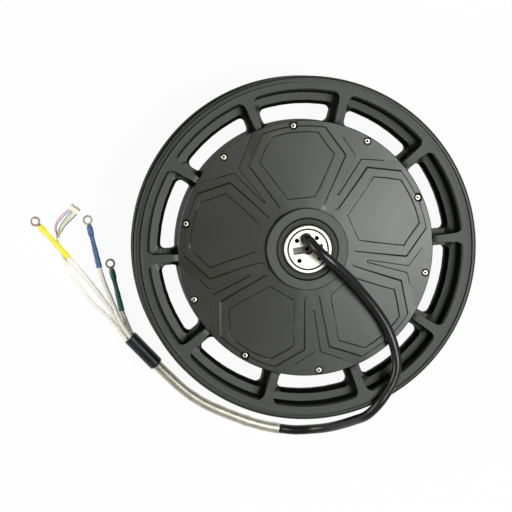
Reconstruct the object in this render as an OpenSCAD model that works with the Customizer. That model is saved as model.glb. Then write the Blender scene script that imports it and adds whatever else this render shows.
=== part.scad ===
// Hub motor of an electric unicycle: a cast wheel rim whose drum holds an
// outrunner motor, on a short through axle with the cable at one end.
// The axle runs along Z with the cable end up, and the lower axle end stands
// on z = 0. Lengths are in millimetres.

/* [Rim] */
// Outside diameter over the rim flanges
rim_d = 387; // [384:0.5:388]
// Width over both flanges
rim_w = 68; // [68:0.5:70]
// Diameter of the two tyre seats
seat_d = 358; // [357:0.5:359]
// Width between the flanges
seat_w = 55; // [54:0.5:56]
// Smallest diameter of the drop centre
well_d = 333.6; // [332:0.2:335]
// Number of spokes
spokes = 10; // [10:1:10]
// Direction of the first spoke, in degrees
spoke_turn = 3.75; // [0:0.25:7]
// Diameter of the valve hole
valve_hole_d = 8.3; // [8:0.1:11.5]

/* [Drum and covers] */
// Outside diameter of the drum and of the covers
drum_d = 288; // [287:0.5:289]
// Bore of the drum
drum_bore = 266; // [265.8:0.1:266.2]
// Length of the drum between the covers
drum_len = 56; // [56:0.5:57]
// Diameter of the circle of cover screws
screw_pcd = 276.8; // [276.6:0.1:277]
// Number of screws in each cover
screws = 10; // [10:1:10]
// Direction of the first cover screw, in degrees
screw_turn = 24.1; // [22:0.1:26]
// Number of raised panels on each cover
panels = 5; // [5:1:5]
// Height of one step of the panels
step_h = 1.6; // [1.2:0.1:1.8]
// Depth of the recess in each panel
recess_h = 1.1; // [0.8:0.1:1.3]
// Diameter of the boss round the bearing
boss_d = 92; // [91:0.5:93]

/* [Axle] */
// Length of the axle between its end faces
axle_len = 98; // [98:0.5:100]
// Diameter of the axle at the bearings
axle_d = 45; // [45:0.5:45]
// Diameter of the collars beside the bearings
collar_d = 54; // [53.5:0.5:54]
// Direction of the slot across each end face, in degrees
axle_turn = 7.5; // [0:0.5:15]
// Diameter of the circle of tapped holes in each end face
tapped_pcd = 32; // [31:0.5:33]
// Tapping drill of those holes at the end with the cable
tapped_d = 5; // [4.8:0.1:5.2]
// Tapping drill of those holes at the plain end
plain_tapped_d = 6.8; // [6.6:0.1:7]
// Diameter of the cable hole
cable_hole_d = 12; // [11.8:0.1:12]

/* [Motor] */
// Diameter of the stator over its teeth
stator_d = 245.6; // [245:0.1:245.8]
// Length of the lamination stack
stack_len = 35; // [34:0.5:35]
// Number of stator teeth
teeth = 54; // [54:1:54]
// Number of magnets
magnet_count = 60; // [60:1:60]
// Number of balls in each bearing
balls = 16; // [14:1:16]

/* [Cable] */
// Diameter of the main cable
cable_d = 11; // [10.5:0.1:11]
// Diameter of the sleeve over the far half of the cable
sleeve_d = 12; // [11.5:0.1:12]
// Diameter of a phase wire
phase_wire_d = 5.5; // [5.2:0.1:5.5]
// Diameter of the sensor cable
hall_cable_d = 3.9; // [3.7:0.1:3.9]
// Diameter of a sensor wire
hall_wire_d = 1.2; // [1:0.1:1.2]

/* [Hidden] */

$fn = 96;
mid_z = axle_len / 2;
rim_r = rim_d / 2;
rim_h = rim_w / 2;
seat_r = seat_d / 2;
seat_h = seat_w / 2;
well_r = well_d / 2;
spoke_pitch = 360 / spokes;
drum_r = drum_d / 2;
bore_r = drum_bore / 2;
drum_h = drum_len / 2;
screw_r = screw_pcd / 2;
screw_pitch = 360 / screws;
panel_pitch = 360 / panels;
boss_r = boss_d / 2;
axle_r = axle_d / 2;
collar_r = collar_d / 2;
stator_r = stator_d / 2;
stack_h = stack_len / 2;
over = 1;

// The wheel casting, as radii and as heights from the middle plane
nose_r = (rim_h - seat_h) / 2;
seat_edge_h = 14.5;
well_h = 6.5;
lip_r = rim_r - 4.3;
groove_w = 2;
groove_h = 1.2;
face_drop = 0.4;
spoke_foot_h = 31.6;
spoke_end_r = 150;
spoke_end_h = rim_h - 0.9;
pocket_mouth_r = 179.5;
pocket_wall_r = 177;
pocket_foot_r = 175;
pocket_foot_h = 17.6;
web_end_r = 162;
web_h = 10.5;
hole_mid_r = 162.3;
hole_mid_h = 6;
hole_mouth_r = 169.8;
hole_mouth_h = 18;
rib_hub_w = 6.4;
rib_rim_w = 9.8;
rib_rim_r = 166;
rib_round = 10;
web_w = 18.4;
web_mouth_w = 17;
web_round = 6;
web_foot_round = 7;

// The covers, as radii and as heights from the middle plane
dome_boss_h = 37;
dome_edge_h = 32;
cover_wall = 4.6;
boss_h = 46;
plate_r = 137.5;
wall_slope = 0.7;
spigot_r = bore_r - 0.1;
spigot_h = 24.5;
ring_groove_r = 131;
ring_wire_r = 0.92;
head_r = 3.8;
head_h = 2.2;
head_seat_h = 29.8;
head_well_r = 4.6;
screw_shank_r = 2;
screw_hole_r = 2.2;
screw_len = 14;

// Bearings, 45 x 68 x 12, as radii and as heights from the middle plane
bearing_r = 34;
bearing_w = 12;
bearing_h = 32;
pitch_r = 28.25;
ball_r = 3.3;
race_gap = 0.06;
inner_race_r = 25.9;
outer_race_r = 30.6;
seal_foot_h = 39.6;

// Inside the motor
key_w = 8;
hub_low_h = -20;
hub_high_h = 10;
circlip_w = 1.5;
lead_h = 18;
cable_hole_off = 12.7;
spider_r = 88;
slot_foot_r = 98;
tooth_w = 6;
slot_mouth_w = 2.1;
insulator_w = 1.5;
coil_in_r = 99.5;
coil_out_r = 118.5;
coil_in_w = 10.4;
coil_out_w = 12.8;
coil_h = 24;
lead_r = 2;

function polar(r, a) = [r * cos(a), r * sin(a)];
function arc(c, r, a0, a1, n) = [for (i = [0:n]) c + polar(r, a0 + (a1 - a0) * i / n)];
function flip(p) = [for (i = [len(p) - 1:-1:0]) [p[i].x, -p[i].y]];
function turned(p, a) = [for (q = p) [q.x * cos(a) - q.y * sin(a), q.x * sin(a) + q.y * cos(a)]];
function joined(lists) = [for (l = lists) for (p = l) p];
// A dome height at radius r, k steps above the ground level of the cover
function dome(r, k = 0) =
    dome_boss_h - (dome_boss_h - dome_edge_h) * (r - boss_r) / (screw_r - boss_r) + k * step_h;

module middle() {
    translate([0, 0, mid_z]) children();
}

module on_cable_side() {
    middle() children();
}

module on_plain_side() {
    middle() mirror([0, 0, 1]) children();
}

module around(count, turn = 0) {
    for (i = [0:count - 1]) rotate(turn + i * 360 / count) children();
}

// A closed skin over a row of rings, which all have the same number of points
module skinned(rings) {
    n = len(rings[0]);
    last = len(rings) - 1;
    polyhedron(
        points = joined(rings),
        faces = concat(
            [[for (k = [0:n - 1]) k]],
            [[for (k = [n - 1:-1:0]) last * n + k]],
            [for (i = [0:last - 1]) for (k = [0:n - 1]) [i * n + k, (i + 1) * n + k, i * n + (k + 1) % n]],
            [for (i = [0:last - 1]) for (k = [0:n - 1])
                [i * n + (k + 1) % n, (i + 1) * n + k, (i + 1) * n + (k + 1) % n]]
        ),
        convexity = 10
    );
}

// The full section of the casting, before the windows are opened
function flange_top() = arc([rim_r - nose_r, rim_h - nose_r], nose_r, 90, -90, 8);
function casting_half() = concat(
    [[bore_r, drum_h], [drum_r + 0.3, drum_h], [drum_r + 0.3, spoke_foot_h], [spoke_end_r, spoke_end_h],
     [lip_r - groove_w - 4, rim_h - face_drop], [lip_r - groove_w, rim_h - face_drop / 2],
     [lip_r - groove_w, rim_h - groove_h], [lip_r, rim_h - groove_h], [lip_r, rim_h]],
    flange_top(),
    [[seat_r + 2.5, seat_h], [seat_r + 0.7, seat_h - 0.7], [seat_r, seat_h - 2.5],
     [seat_r, seat_edge_h], [well_r + 1, well_h + 0.9], [well_r, well_h - 0.4]]
);

// Window outlines, with the middle of the window along +X. A window starts
// at the drum either square or with a round of the given radius.
function foot(half_w, round_r) =
    let (
        edge = spoke_pitch / 2,
        r = drum_r + round_r - 0.4,
        angle = edge - asin((half_w + round_r) / r)
    )
    round_r == 0
        ? [polar(drum_r - 3, edge) + polar(half_w, edge - 90)]
        : concat([polar(drum_r - 3, angle - 1)], arc(polar(r, angle), round_r, angle + 180, edge + 90, 4));
function flank(foot_points, half_w_rim, corner_r, outer_r) =
    let (
        edge = spoke_pitch / 2,
        c = polar(outer_r - corner_r, edge - asin((half_w_rim + corner_r) / (outer_r - corner_r))),
        c_angle = atan2(c.y, c.x)
    )
    concat(foot_points, arc(c, corner_r, edge + 90, c_angle, 5));
function window(foot_points, half_w_rim, corner_r, outer_r) =
    let (side = flank(foot_points, half_w_rim, corner_r, outer_r))
    concat(
        side,
        [for (i = [-2:2]) polar(outer_r, -i * spoke_pitch / 7)],
        flip(side)
    );

module pocket_limits() {
    for (m = [0, 1]) mirror([0, 0, m]) rotate_extrude() polygon([
        [drum_r, web_h], [web_end_r, web_h], [pocket_foot_r, pocket_foot_h],
        [pocket_wall_r, rim_h - 2.5], [pocket_mouth_r, rim_h], [pocket_mouth_r, rim_h + over],
        [drum_r, rim_h + over]
    ]);
}

// A hole through the web, straight in the middle and drafted towards its mouths
function hole_ring(w, outer_r, h) =
    [for (p = window(foot(w / 2, web_foot_round), w / 2, web_round, outer_r)) [p.x, p.y, h]];

module drafted_holes() {
    intersection() {
        around(spokes, spoke_turn + spoke_pitch / 2) skinned([
            hole_ring(web_mouth_w, hole_mouth_r, hole_mouth_h), hole_ring(web_w, hole_mid_r, hole_mid_h),
            hole_ring(web_w, hole_mid_r, -hole_mid_h), hole_ring(web_mouth_w, hole_mouth_r, -hole_mouth_h)
        ]);
        rotate_extrude() polygon([
            [drum_r, -hole_mouth_h], [pocket_foot_r, -hole_mouth_h],
            [pocket_foot_r, hole_mouth_h], [drum_r, hole_mouth_h]
        ]);
    }
}

module window_prisms(outline) {
    around(spokes, spoke_turn + spoke_pitch / 2)
        translate([0, 0, -rim_h - 2]) linear_extrude(height = rim_w + 4) polygon(outline);
}

module wheel_casting() {
    color([0.13, 0.14, 0.13]) middle() difference() {
        rotate_extrude() polygon(concat(casting_half(), flip(casting_half())));
        intersection() {
            window_prisms(window(foot(rib_hub_w / 2, 0), rib_rim_w / 2, rib_round, pocket_mouth_r + 0.8));
            pocket_limits();
        }
        drafted_holes();
        for (m = [0, 1]) mirror([0, 0, m]) around(screws, screw_turn)
            translate([screw_r, 0, drum_h - screw_len]) cylinder(r = screw_shank_r, h = screw_len + over);
        rotate(spoke_turn + 4.5 * spoke_pitch)
            translate([hole_mid_r - 6, 0, 0]) rotate([0, 90, 0]) cylinder(d = valve_hole_d, h = 20);
    }
}

module flux_ring() {
    color([0.45, 0.45, 0.47]) middle() difference() {
        cylinder(r = bore_r - 0.05, h = 40, center = true);
        cylinder(r = 127, h = 42, center = true);
    }
}

module magnets() {
    magnet = [3.3, 12.2, 35];
    color([0.7, 0.71, 0.74]) middle() around(magnet_count)
        translate([123.4, -magnet.y / 2, -magnet.z / 2]) cube(magnet);
}

// Each step of the cover pattern is a domed layer with a trough between two
// panels. A trough runs outward along +X. A station holds the distance and
// half width at its foot, then at its brow, and how far it is cut below.
function trough_ring(station, k) = let (
        foot = station[0], brow = station[1],
        low = dome(norm(foot), k - 1), high = dome(norm(brow), k),
        e = 0.35,
        lower = [foot.x - e * (brow.x - foot.x), max(0.05, foot.y - e * (brow.y - foot.y)), low - e * step_h],
        upper = [brow.x + e * (brow.x - foot.x), brow.y + e * (brow.y - foot.y), high + e * step_h],
        half = [[lower.x, lower.y, lower.z - station[2]], lower, upper, [upper.x, upper.y, boss_h + over]]
    )
    concat(half, [for (i = [3:-1:0]) [half[i].x, -half[i].y, half[i].z]]);
function plate_trough() = [
    [[44, 0], [44, 8.4], 0.1], [[46.6, 0.5], [46.6, 8.5], 0.1], [[51.3, 4.3], [51.3, 8.6], 0.1],
    [[56, 7.7], [56, 8.9], 0.1], [[62, 8.3], [62, 9.7], 2], [[113.5, 13.1], [112.2, 15], 2],
    [[137, 66.9], [135.4, 67.6], 2], [[170, 20], [170, 20], 2]
];
function notch_half() = [[70.8, 0.8], [118, 3.5], [144, 57.2], [170, 20]];

module plate_troughs() {
    around(panels, screw_turn + panel_pitch / 2) skinned([for (s = plate_trough()) trough_ring(s, 2)]);
}

module band_notches() {
    around(panels, screw_turn + panel_pitch / 2) linear_extrude(height = boss_h)
        polygon(concat(notch_half(), flip(notch_half())));
}

module dome_layer(k, foot, brow) {
    inner_r = 40;
    rotate_extrude() polygon([
        [inner_r, dome(inner_r) - 2], [foot.x, dome(foot.x) - 2], foot, brow, [inner_r, dome(inner_r, k)]
    ]);
}

// The recess in one panel, whose middle lies along +X, shrunk by a distance
function recess(shrink) = let (
        side = [polar(110.2 - shrink * 0.6, 22.6 - shrink * 0.45), polar(58.9 + shrink, 15.3 - shrink * 0.6)]
    )
    concat(arc([0, 0], 131 - shrink, -11.8 + shrink * 0.3, 11.8 - shrink * 0.3, 6), side, flip(side));
function recess_ring(z) = let (a = recess(0), b = recess(1))
    [for (i = [0:len(a) - 1]) let (p = a[i] + (b[i] - a[i]) * wall_slope * (dome(norm(a[i]), 2) - z)) [p.x, p.y, z]];

module cover_base() {
    inner_boss_r = 43;
    rotate_extrude() polygon([
        [spigot_r, spigot_h], [spigot_r, drum_h], [drum_r, drum_h],
        [drum_r, dome(drum_r) - 0.8], [drum_r - 0.8, dome(drum_r - 0.8)], [boss_r, dome(boss_r)],
        [boss_r, boss_h - 0.8], [boss_r - 0.8, boss_h], [bearing_r + 1.6, boss_h],
        [bearing_r, boss_h - 1.4], [bearing_r, seal_foot_h], [31.8, seal_foot_h - 0.2],
        [31.8, bearing_h + bearing_w / 2], [bearing_r, bearing_h + bearing_w / 2], [bearing_r, 25.6],
        [bearing_r + 0.6, 25], [inner_boss_r - 1, 25], [inner_boss_r, 26],
        [inner_boss_r + 2, dome(inner_boss_r + 2) - cover_wall], [127.6, dome(127.6) - cover_wall],
        [128.6, spigot_h]
    ]);
}

module cover() {
    difference() {
        union() {
            cover_base();
            difference() {
                dome_layer(1, [drum_r, dome(drum_r, 1) - 0.8], [drum_r - 0.8, dome(drum_r - 0.8, 1)]);
                band_notches();
            }
            difference() {
                dome_layer(2, [plate_r + 0.7, dome(plate_r + 0.7, 1) - 0.2], [plate_r - 0.6, dome(plate_r - 0.6, 2)]);
                plate_troughs();
            }
        }
        intersection() {
            around(panels, screw_turn) skinned([recess_ring(30), recess_ring(43)]);
            rotate_extrude() polygon([
                [45, dome(45, 2) - recess_h], [140, dome(140, 2) - recess_h], [140, 44], [45, 44]
            ]);
        }
        around(screws, screw_turn) translate([screw_r, 0, 0]) {
            cylinder(r = screw_hole_r, h = 50);
            translate([0, 0, head_seat_h]) cylinder(r = head_well_r, h = 20);
        }
        rotate_extrude() polygon([
            [ring_groove_r, 25.4], [ring_groove_r, 27.4], [bore_r + 0.4, 27.4], [bore_r + 0.4, 25.4]
        ]);
    }
}

module cable_side_cover() {
    color([0.11, 0.11, 0.11]) on_cable_side() cover();
}

module plain_side_cover() {
    color([0.11, 0.11, 0.11]) on_plain_side() cover();
}

module o_ring() {
    color([0.05, 0.05, 0.05]) rotate_extrude()
        translate([ring_groove_r + ring_wire_r + 0.04, 26.4]) circle(r = ring_wire_r, $fn = 24);
}

module button_screw() {
    socket_af = 2.5;
    color([0.85, 0.85, 0.83]) difference() {
        rotate_extrude($fn = 48) polygon(concat(
            [[0, head_seat_h - 12], [screw_shank_r - 0.4, head_seat_h - 12],
             [screw_shank_r - 0.05, head_seat_h - 11.6], [screw_shank_r - 0.05, head_seat_h],
             [head_r, head_seat_h], [head_r, head_seat_h + 0.5]],
            [for (a = [15:15:75]) [1.9 + (head_r - 1.9) * cos(a), head_seat_h + 0.5 + (head_h - 0.5) * sin(a)]],
            [[0, head_seat_h + head_h]]
        ));
        translate([0, 0, head_seat_h + head_h - 1.3])
            cylinder(d = socket_af / cos(30), h = 3, $fn = 6);
    }
}

module cover_screws() {
    around(screws, screw_turn) translate([screw_r, 0, 0]) button_screw();
}

module lip_seal() {
    color([0.06, 0.06, 0.06]) rotate_extrude() polygon([
        [bearing_r - 0.03, seal_foot_h + 0.1], [bearing_r - 0.03, 44.5], [bearing_r - 0.6, 45],
        [30.2, 45], [29.8, 44.4], [28.6, 44.4], [collar_r + 0.06, 43.4], [collar_r + 0.06, 42.6],
        [28.8, 41.4], [30.6, 41], [31.9, seal_foot_h + 0.1]
    ]);
}

module race_groove() {
    translate([0, 0, bearing_h]) rotate_extrude()
        translate([pitch_r, 0]) circle(r = ball_r + race_gap, $fn = 48);
}

module outer_race() {
    color([0.72, 0.73, 0.75]) difference() {
        translate([0, 0, bearing_h]) rotate_extrude() polygon([
            [outer_race_r, -6], [bearing_r - 0.9, -6], [bearing_r - 0.04, -5.2],
            [bearing_r - 0.04, 5.2], [bearing_r - 0.9, 6], [outer_race_r, 6]
        ]);
        race_groove();
    }
}

module inner_race() {
    color([0.72, 0.73, 0.75]) difference() {
        translate([0, 0, bearing_h]) rotate_extrude() polygon([
            [axle_r + 0.03, -5.4], [axle_r + 0.7, -6], [inner_race_r, -6],
            [inner_race_r, 6], [axle_r + 0.7, 6], [axle_r + 0.03, 5.4]
        ]);
        race_groove();
    }
}

module bearing_balls() {
    color([0.8, 0.81, 0.83]) around(balls) translate([pitch_r, 0, bearing_h]) sphere(r = ball_r, $fn = 32);
}

module cage() {
    color([0.55, 0.42, 0.22]) difference() {
        translate([0, 0, bearing_h]) rotate_extrude() polygon([
            [pitch_r - 1, -4.2], [pitch_r + 1, -4.2], [pitch_r + 1, 4.2], [pitch_r - 1, 4.2]
        ]);
        around(balls) translate([pitch_r - 3, 0, bearing_h]) rotate([0, 90, 0])
            cylinder(r = ball_r + 0.05, h = 6, $fn = 32);
    }
}

module shields() {
    color([0.08, 0.08, 0.08]) for (s = [-5.4, 5.4]) translate([0, 0, bearing_h + s]) difference() {
        cylinder(r = outer_race_r - 0.02, h = 0.8, center = true);
        cylinder(r = inner_race_r + 0.06, h = 2, center = true);
    }
}

module collar() {
    color([0.78, 0.78, 0.77]) rotate_extrude() polygon([
        [axle_r + 0.03, 38], [inner_race_r - 0.3, 38], [inner_race_r - 0.3, 38.8], [collar_r, 39.4],
        [collar_r, mid_z - 0.8], [collar_r - 0.8, mid_z], [axle_r + 0.6, mid_z], [axle_r + 0.03, mid_z - 0.6]
    ]);
}

// Holes in one end face of the axle, whose slot lies along +X
module end_face_cuts(drill_d) {
    slot_len = 34;
    slot_w = 8;
    slot_h = 5;
    around(4, 45) translate([tapped_pcd / 2, 0, mid_z - 16]) cylinder(d = drill_d, h = 20, $fn = 32);
    translate([-slot_len / 2, -slot_w / 2, mid_z - slot_h]) cube([slot_len, slot_w, 10]);
    translate([0, 0, mid_z - 8]) cylinder(r = 5.8, h = 10, $fn = 48);
    translate([0, 0, mid_z - 20]) cylinder(r = 2.5, h = 20, $fn = 32);
}

module axle() {
    seat_r_big = 25.5;
    groove_r = 24.2;
    color([0.74, 0.74, 0.73]) middle() rotate(axle_turn) difference() {
        rotate_extrude() polygon([
            [0, -mid_z], [axle_r - 0.6, -mid_z], [axle_r, -mid_z + 0.6], [axle_r, -26],
            [seat_r_big, -26], [seat_r_big, hub_low_h - circlip_w], [groove_r, hub_low_h - circlip_w],
            [groove_r, hub_low_h], [seat_r_big, hub_low_h], [seat_r_big, hub_high_h],
            [groove_r, hub_high_h], [groove_r, hub_high_h + circlip_w],
            [seat_r_big, hub_high_h + circlip_w], [seat_r_big, 26],
            [axle_r, 26], [axle_r, mid_z - 0.6], [axle_r - 0.6, mid_z], [0, mid_z]
        ]);
        end_face_cuts(tapped_d);
        mirror([0, 0, 1]) end_face_cuts(plain_tapped_d);
        translate([0, cable_hole_off, lead_h - 5.6]) cylinder(d = cable_hole_d, h = 50);
        translate([0, cable_hole_off, lead_h]) rotate([-90, 0, 0]) cylinder(r = 5.5, h = 20, $fn = 48);
        rotate(-90) translate([21.5, -key_w / 2, -17]) cube([10, key_w, 26]);
    }
}

module axle_key() {
    color([0.6, 0.6, 0.62]) middle() rotate(axle_turn - 90)
        translate([21.6, -key_w / 2 + 0.05, -16.9]) cube([7.7, key_w - 0.1, 25.8]);
}

module spider_circlips() {
    color([0.35, 0.35, 0.36]) middle() for (h = [hub_low_h - circlip_w, hub_high_h])
        translate([0, 0, h + 0.05]) rotate(axle_turn + 90) difference() {
            cylinder(r = 28.4, h = circlip_w - 0.1);
            translate([0, 0, -1]) cylinder(r = 24.25, h = 4);
            translate([-30, -3, -1]) cube([30, 6, 4]);
        }
}

module spider() {
    seat_r_big = 25.5;
    color([0.7, 0.71, 0.72]) middle() difference() {
        rotate_extrude() polygon([
            [seat_r_big + 0.03, hub_low_h], [38, hub_low_h], [39, hub_low_h + 1], [42, -5], [76, -5],
            [79, -8], [79, -stack_h], [spider_r - 0.03, -stack_h], [spider_r - 0.03, stack_h],
            [79, stack_h], [79, 8], [76, 5], [42, 5], [39, hub_high_h - 1], [38, hub_high_h],
            [seat_r_big + 0.03, hub_high_h]
        ]);
        around(6, 15) translate([59, 0, -8]) cylinder(r = 13, h = 16, $fn = 64);
        rotate(axle_turn - 90) translate([20, -key_w / 2, -21]) cube([9.4, key_w, 32]);
    }
}

// Outline of a ring of teeth whose slots open through the given half width
function slot_shape(outer_r, mouth_half, shoe) = let (
        half = 180 / teeth,
        foot_half = slot_foot_r * tan(half) - tooth_w / 2 / cos(half),
        top_r = outer_r - (shoe ? 3.2 : -1),
        top_half = top_r * tan(half) - tooth_w / 2 / cos(half)
    )
    shoe
        ? [[slot_foot_r, foot_half], [top_r, top_half], [outer_r - 1.6, mouth_half], [outer_r + 2, mouth_half]]
        : [[slot_foot_r, foot_half], [top_r, top_half]];

module toothed_ring(outer_r, shoe, h) {
    shape = slot_shape(outer_r, slot_mouth_w / 2, shoe);
    difference() {
        cylinder(r = outer_r, h = h, center = true);
        cylinder(r = spider_r, h = h + 2, center = true);
        translate([0, 0, -h / 2 - 1]) linear_extrude(height = h + 2)
            for (i = [0:teeth - 1]) rotate((i + 0.5) * 360 / teeth) polygon(concat(shape, flip(shape)));
    }
}

module stator_core() {
    color([0.5, 0.5, 0.52]) middle() toothed_ring(stator_r, true, stack_len);
}

module insulator() {
    color([0.88, 0.88, 0.82]) translate([0, 0, stack_h + insulator_w / 2])
        toothed_ring(coil_out_r, false, insulator_w);
}

module coil() {
    chamfer = 2.2;
    length = coil_out_r - coil_in_r;
    difference() {
        intersection() {
            translate([0, 0, -coil_h]) linear_extrude(height = 2 * coil_h) polygon([
                [coil_in_r, -coil_in_w / 2], [coil_out_r, -coil_out_w / 2],
                [coil_out_r, coil_out_w / 2], [coil_in_r, coil_in_w / 2]
            ]);
            translate([coil_in_r - 1, 0, 0]) rotate([90, 0, 90]) linear_extrude(height = length + 2) polygon([
                [-7, -coil_h + 3], [-4, -coil_h], [4, -coil_h], [7, -coil_h + 3],
                [7, coil_h - 3], [4, coil_h], [-4, coil_h], [-7, coil_h - 3]
            ]);
        }
        translate([coil_in_r - 2, -tooth_w / 2 - 0.1, -stack_h - insulator_w])
            cube([length + 4, tooth_w + 0.2, stack_len + 2 * insulator_w]);
    }
}

// The windings follow each other in groups of three teeth
module coils(phase) {
    color([0.72, 0.4, 0.2]) middle() for (g = [0:teeth / 9 - 1]) for (i = [0:2])
        rotate((g * 9 + phase * 3 + i) * 360 / teeth) coil();
}

module hall_board() {
    color([0.1, 0.35, 0.2]) middle() translate([0, 0, coil_h]) difference() {
        intersection() {
            cylinder(r = 112, h = 1.6);
            translate([0, 0, -1]) linear_extrude(height = 4)
                polygon([[0, 0], polar(150, 60), polar(150, 90), polar(150, 125)]);
        }
        translate([0, 0, -1]) cylinder(r = 92, h = 4);
    }
}

module hall_sensors() {
    color([0.1, 0.1, 0.1]) middle() for (i = [-3, 0, 3]) rotate((14 + i) * 360 / teeth) union() {
        translate([119.6, -2, stack_h]) cube([2.6, 4, 3]);
        for (y = [-1.3, 0, 1.3]) {
            translate([119.6, y - 0.25, stack_h + 2]) cube([0.5, 0.5, 5.9]);
            translate([111.5, y - 0.25, coil_h + 1.6]) cube([8.6, 0.5, 0.5]);
        }
    }
}

// Sweeps a round section along a route of points, with a ring at each point
function unit(v) = v / norm(v);
function heading(p, i) = unit(p[min(i + 1, len(p) - 1)] - p[max(i - 1, 0)]);
function across(p, i) = let (t = heading(p, i), s = i == 0
        ? cross(t, abs(t.z) > 0.8 ? [1, 0, 0] : [0, 0, 1])
        : across(p, i - 1))
    unit(s - (s * t) * t);

module swept(route, r, sides) {
    skinned([for (i = [0:len(route) - 1]) let (t = heading(route, i), s = across(route, i), u = cross(t, s))
        [for (k = [0:sides - 1]) route[i] + r * (cos(k * 360 / sides) * s + sin(k * 360 / sides) * u)]]);
}

// Leads inside the motor, with the axle's cable hole on the +Y side: down the
// hole, out through the side of the axle and over the spider to the windings.
// A lead lies x beside the middle of the hole and h to the outside of it.
function lead_route(x, h, way) = concat([
        [x, cable_hole_off + h, 22.6], [x, cable_hole_off + h, lead_h + h + 1.4],
        [x, cable_hole_off + h + 0.8, lead_h + h + 0.6], [x, cable_hole_off + h + 2.6, lead_h + h],
        [x, 30, lead_h + h]
    ], way);
function spread(angle, x) = [
    [x + 18 * sin(angle), 52, lead_h + 1], [62 * sin(angle), 74 * cos(angle), 21.4],
    [88 * sin(angle), 88 * cos(angle), 21.4], [99.4 * sin(angle), 99.4 * cos(angle), 21.4]
];

module phase_leads() {
    color([0.85, 0.84, 0.78]) middle() rotate(axle_turn) {
        swept(lead_route(2.3, -1.2, spread(10.8, 2.3)), lead_r - 0.1, 8);
        swept(lead_route(0, 2.4, spread(-9.2, 0)), lead_r - 0.1, 8);
        swept(lead_route(-2.3, -1.2, spread(-22.5, -2.3)), lead_r - 0.1, 8);
    }
}

module hall_lead() {
    color([0.85, 0.85, 0.8]) middle() rotate(axle_turn)
        swept(lead_route(0, -3.9, [[1, 60, 14.1], [3, 78, 19], [3, 86, 24], [3, 91.9, 24.8]]), 0.8, 8);
}

// Routes of the cord outside the motor, in whole or half millimetres
main_route = [
    [-1.5, 12.5, 72], [-1.5, 12.5, 98], [-1, 11.5, 107], [2, 8, 115], [7, 2, 120.5], [14, -4.5, 122.5],
    [23, -12.5, 121.5], [33, -21, 117.5], [47, -34, 110.5], [60, -48.5, 103.5], [75.5, -67, 97.5],
    [89, -87.5, 93.5], [98, -109, 91.5], [102, -131, 90.5], [99, -148, 90], [91, -163, 90],
    [80.5, -177.5, 89], [69, -190.5, 79], [57, -198.5, 61], [45, -205.5, 42], [31, -211.5, 24],
    [14, -215, 11], [-4, -216, 7], [-22, -214, 6.5]
];
sleeve_route = [
    [-22, -214, 6.5], [-40, -210.5, 6.5], [-60, -204.5, 6.5], [-84, -195, 6.5], [-108, -184, 6.5],
    [-130, -169.5, 6.5], [-149, -152, 8], [-163.5, -137.5, 8.7]
];
band_step = 2;
boot_start = [-163.5, -137.5, 8.7];
boot_len = 44;
boot_angle = 134;
yellow_route = [
    [-194.5, -110, 6], [-196.5, -108, 6], [-204, -97.5, 5], [-211, -86, 3.5], [-217, -73, 3],
    [-228.5, -57, 3], [-240.5, -41.5, 4.5], [-251.5, -28, 7.5]
];
blue_route = [
    [-191.6, -107.6, 11.5], [-193.7, -105.4, 11.5], [-199.5, -97, 10.5], [-204, -89.5, 8.6], [-208, -81, 6.3],
    [-211.5, -71.5, 3.8], [-217, -58.5, 2.9], [-223.5, -42.5, 3]
];
green_route = [[-189.5, -105.6, 6], [-191.5, -103.4, 6], [-195.3, -95.5, 4.2], [-199.5, -85, 3.4]];
hall_route = [
    [-195.8, -111.4, 11.3], [-197.9, -109.2, 11.3], [-203, -103, 10.5], [-208.5, -96, 8.8],
    [-214.5, -88.5, 6], [-222, -79.5, 2.6], [-235, -68, 2], [-247, -53.5, 2], [-257, -38.5, 2],
    [-264, -26.5, 2], [-268.5, -15.5, 2], [-271.5, -6, 2], [-274, 2, 2], [-275.5, 9, 2]
];
// Where each terminal's tube begins: place, direction and tilt
yellow_lug = [[-264, -14, 9], 132, 6];
blue_lug = [[-228.5, -26, 3.7], 103.5, 0];
green_lug = [[-203, -76, 3.7], 103.5, 0];
wire_starts = [[-1, 0.75], [-1, -0.75], [0, 0], [0.4, 1.2], [0.4, -1.2], [1.3, 0]];
connector_at = [-258.5, 38.5, 0.1];
connector_angle = 54.5;
connector_size = [7.2, 13, 4.8];
contact_pitch = 2;
red_way = [[-277.5, 14, 2.8], [-279, 19, 2.4], [-278, 24, 1.8], [-274.5, 30, 1.6], [-269.5, 35.5, 2]];
blue_way = [[-276.6, 14, 0.8], [-277.4, 19, 0.8], [-276.4, 23.5, 0.8], [-273, 28.5, 0.8], [-268, 34, 1.4]];
green_way = [[-275.4, 14, 2.2], [-274, 18.5, 2.2], [-271, 24.8, 2], [-265.5, 32, 2.2]];
yellow_way = [[-274.8, 14, 3.6], [-272.6, 18.2, 3.4], [-269.3, 24.2, 2.8], [-263.4, 31.2, 2.6]];
white_way = [[-274.8, 14, 0.8], [-272, 18, 0.8], [-268.4, 23.6, 0.8], [-261.8, 30.4, 1]];
black_way = [[-273.2, 13.6, 2.2], [-270.6, 17.4, 1.8], [-266.8, 22.8, 1], [-260, 29.4, 1]];

module main_cable() {
    color([0.1, 0.1, 0.1]) swept(main_route, cable_d / 2, 12);
}

module cable_sleeve() {
    color([0.68, 0.66, 0.58]) swept(sleeve_route, sleeve_d / 2, 12);
}

// The end of the outer sleeve, where it overlaps the next length
module sleeve_band() {
    from = sleeve_route[band_step];
    color([0.62, 0.6, 0.52]) translate(from) rotate([0, 0, 160]) rotate([0, 90, 0]) difference() {
        cylinder(r = 6.4, h = 5, center = true, $fn = 48);
        cylinder(r = 5.9, h = 7, center = true, $fn = 48);
    }
}

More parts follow.
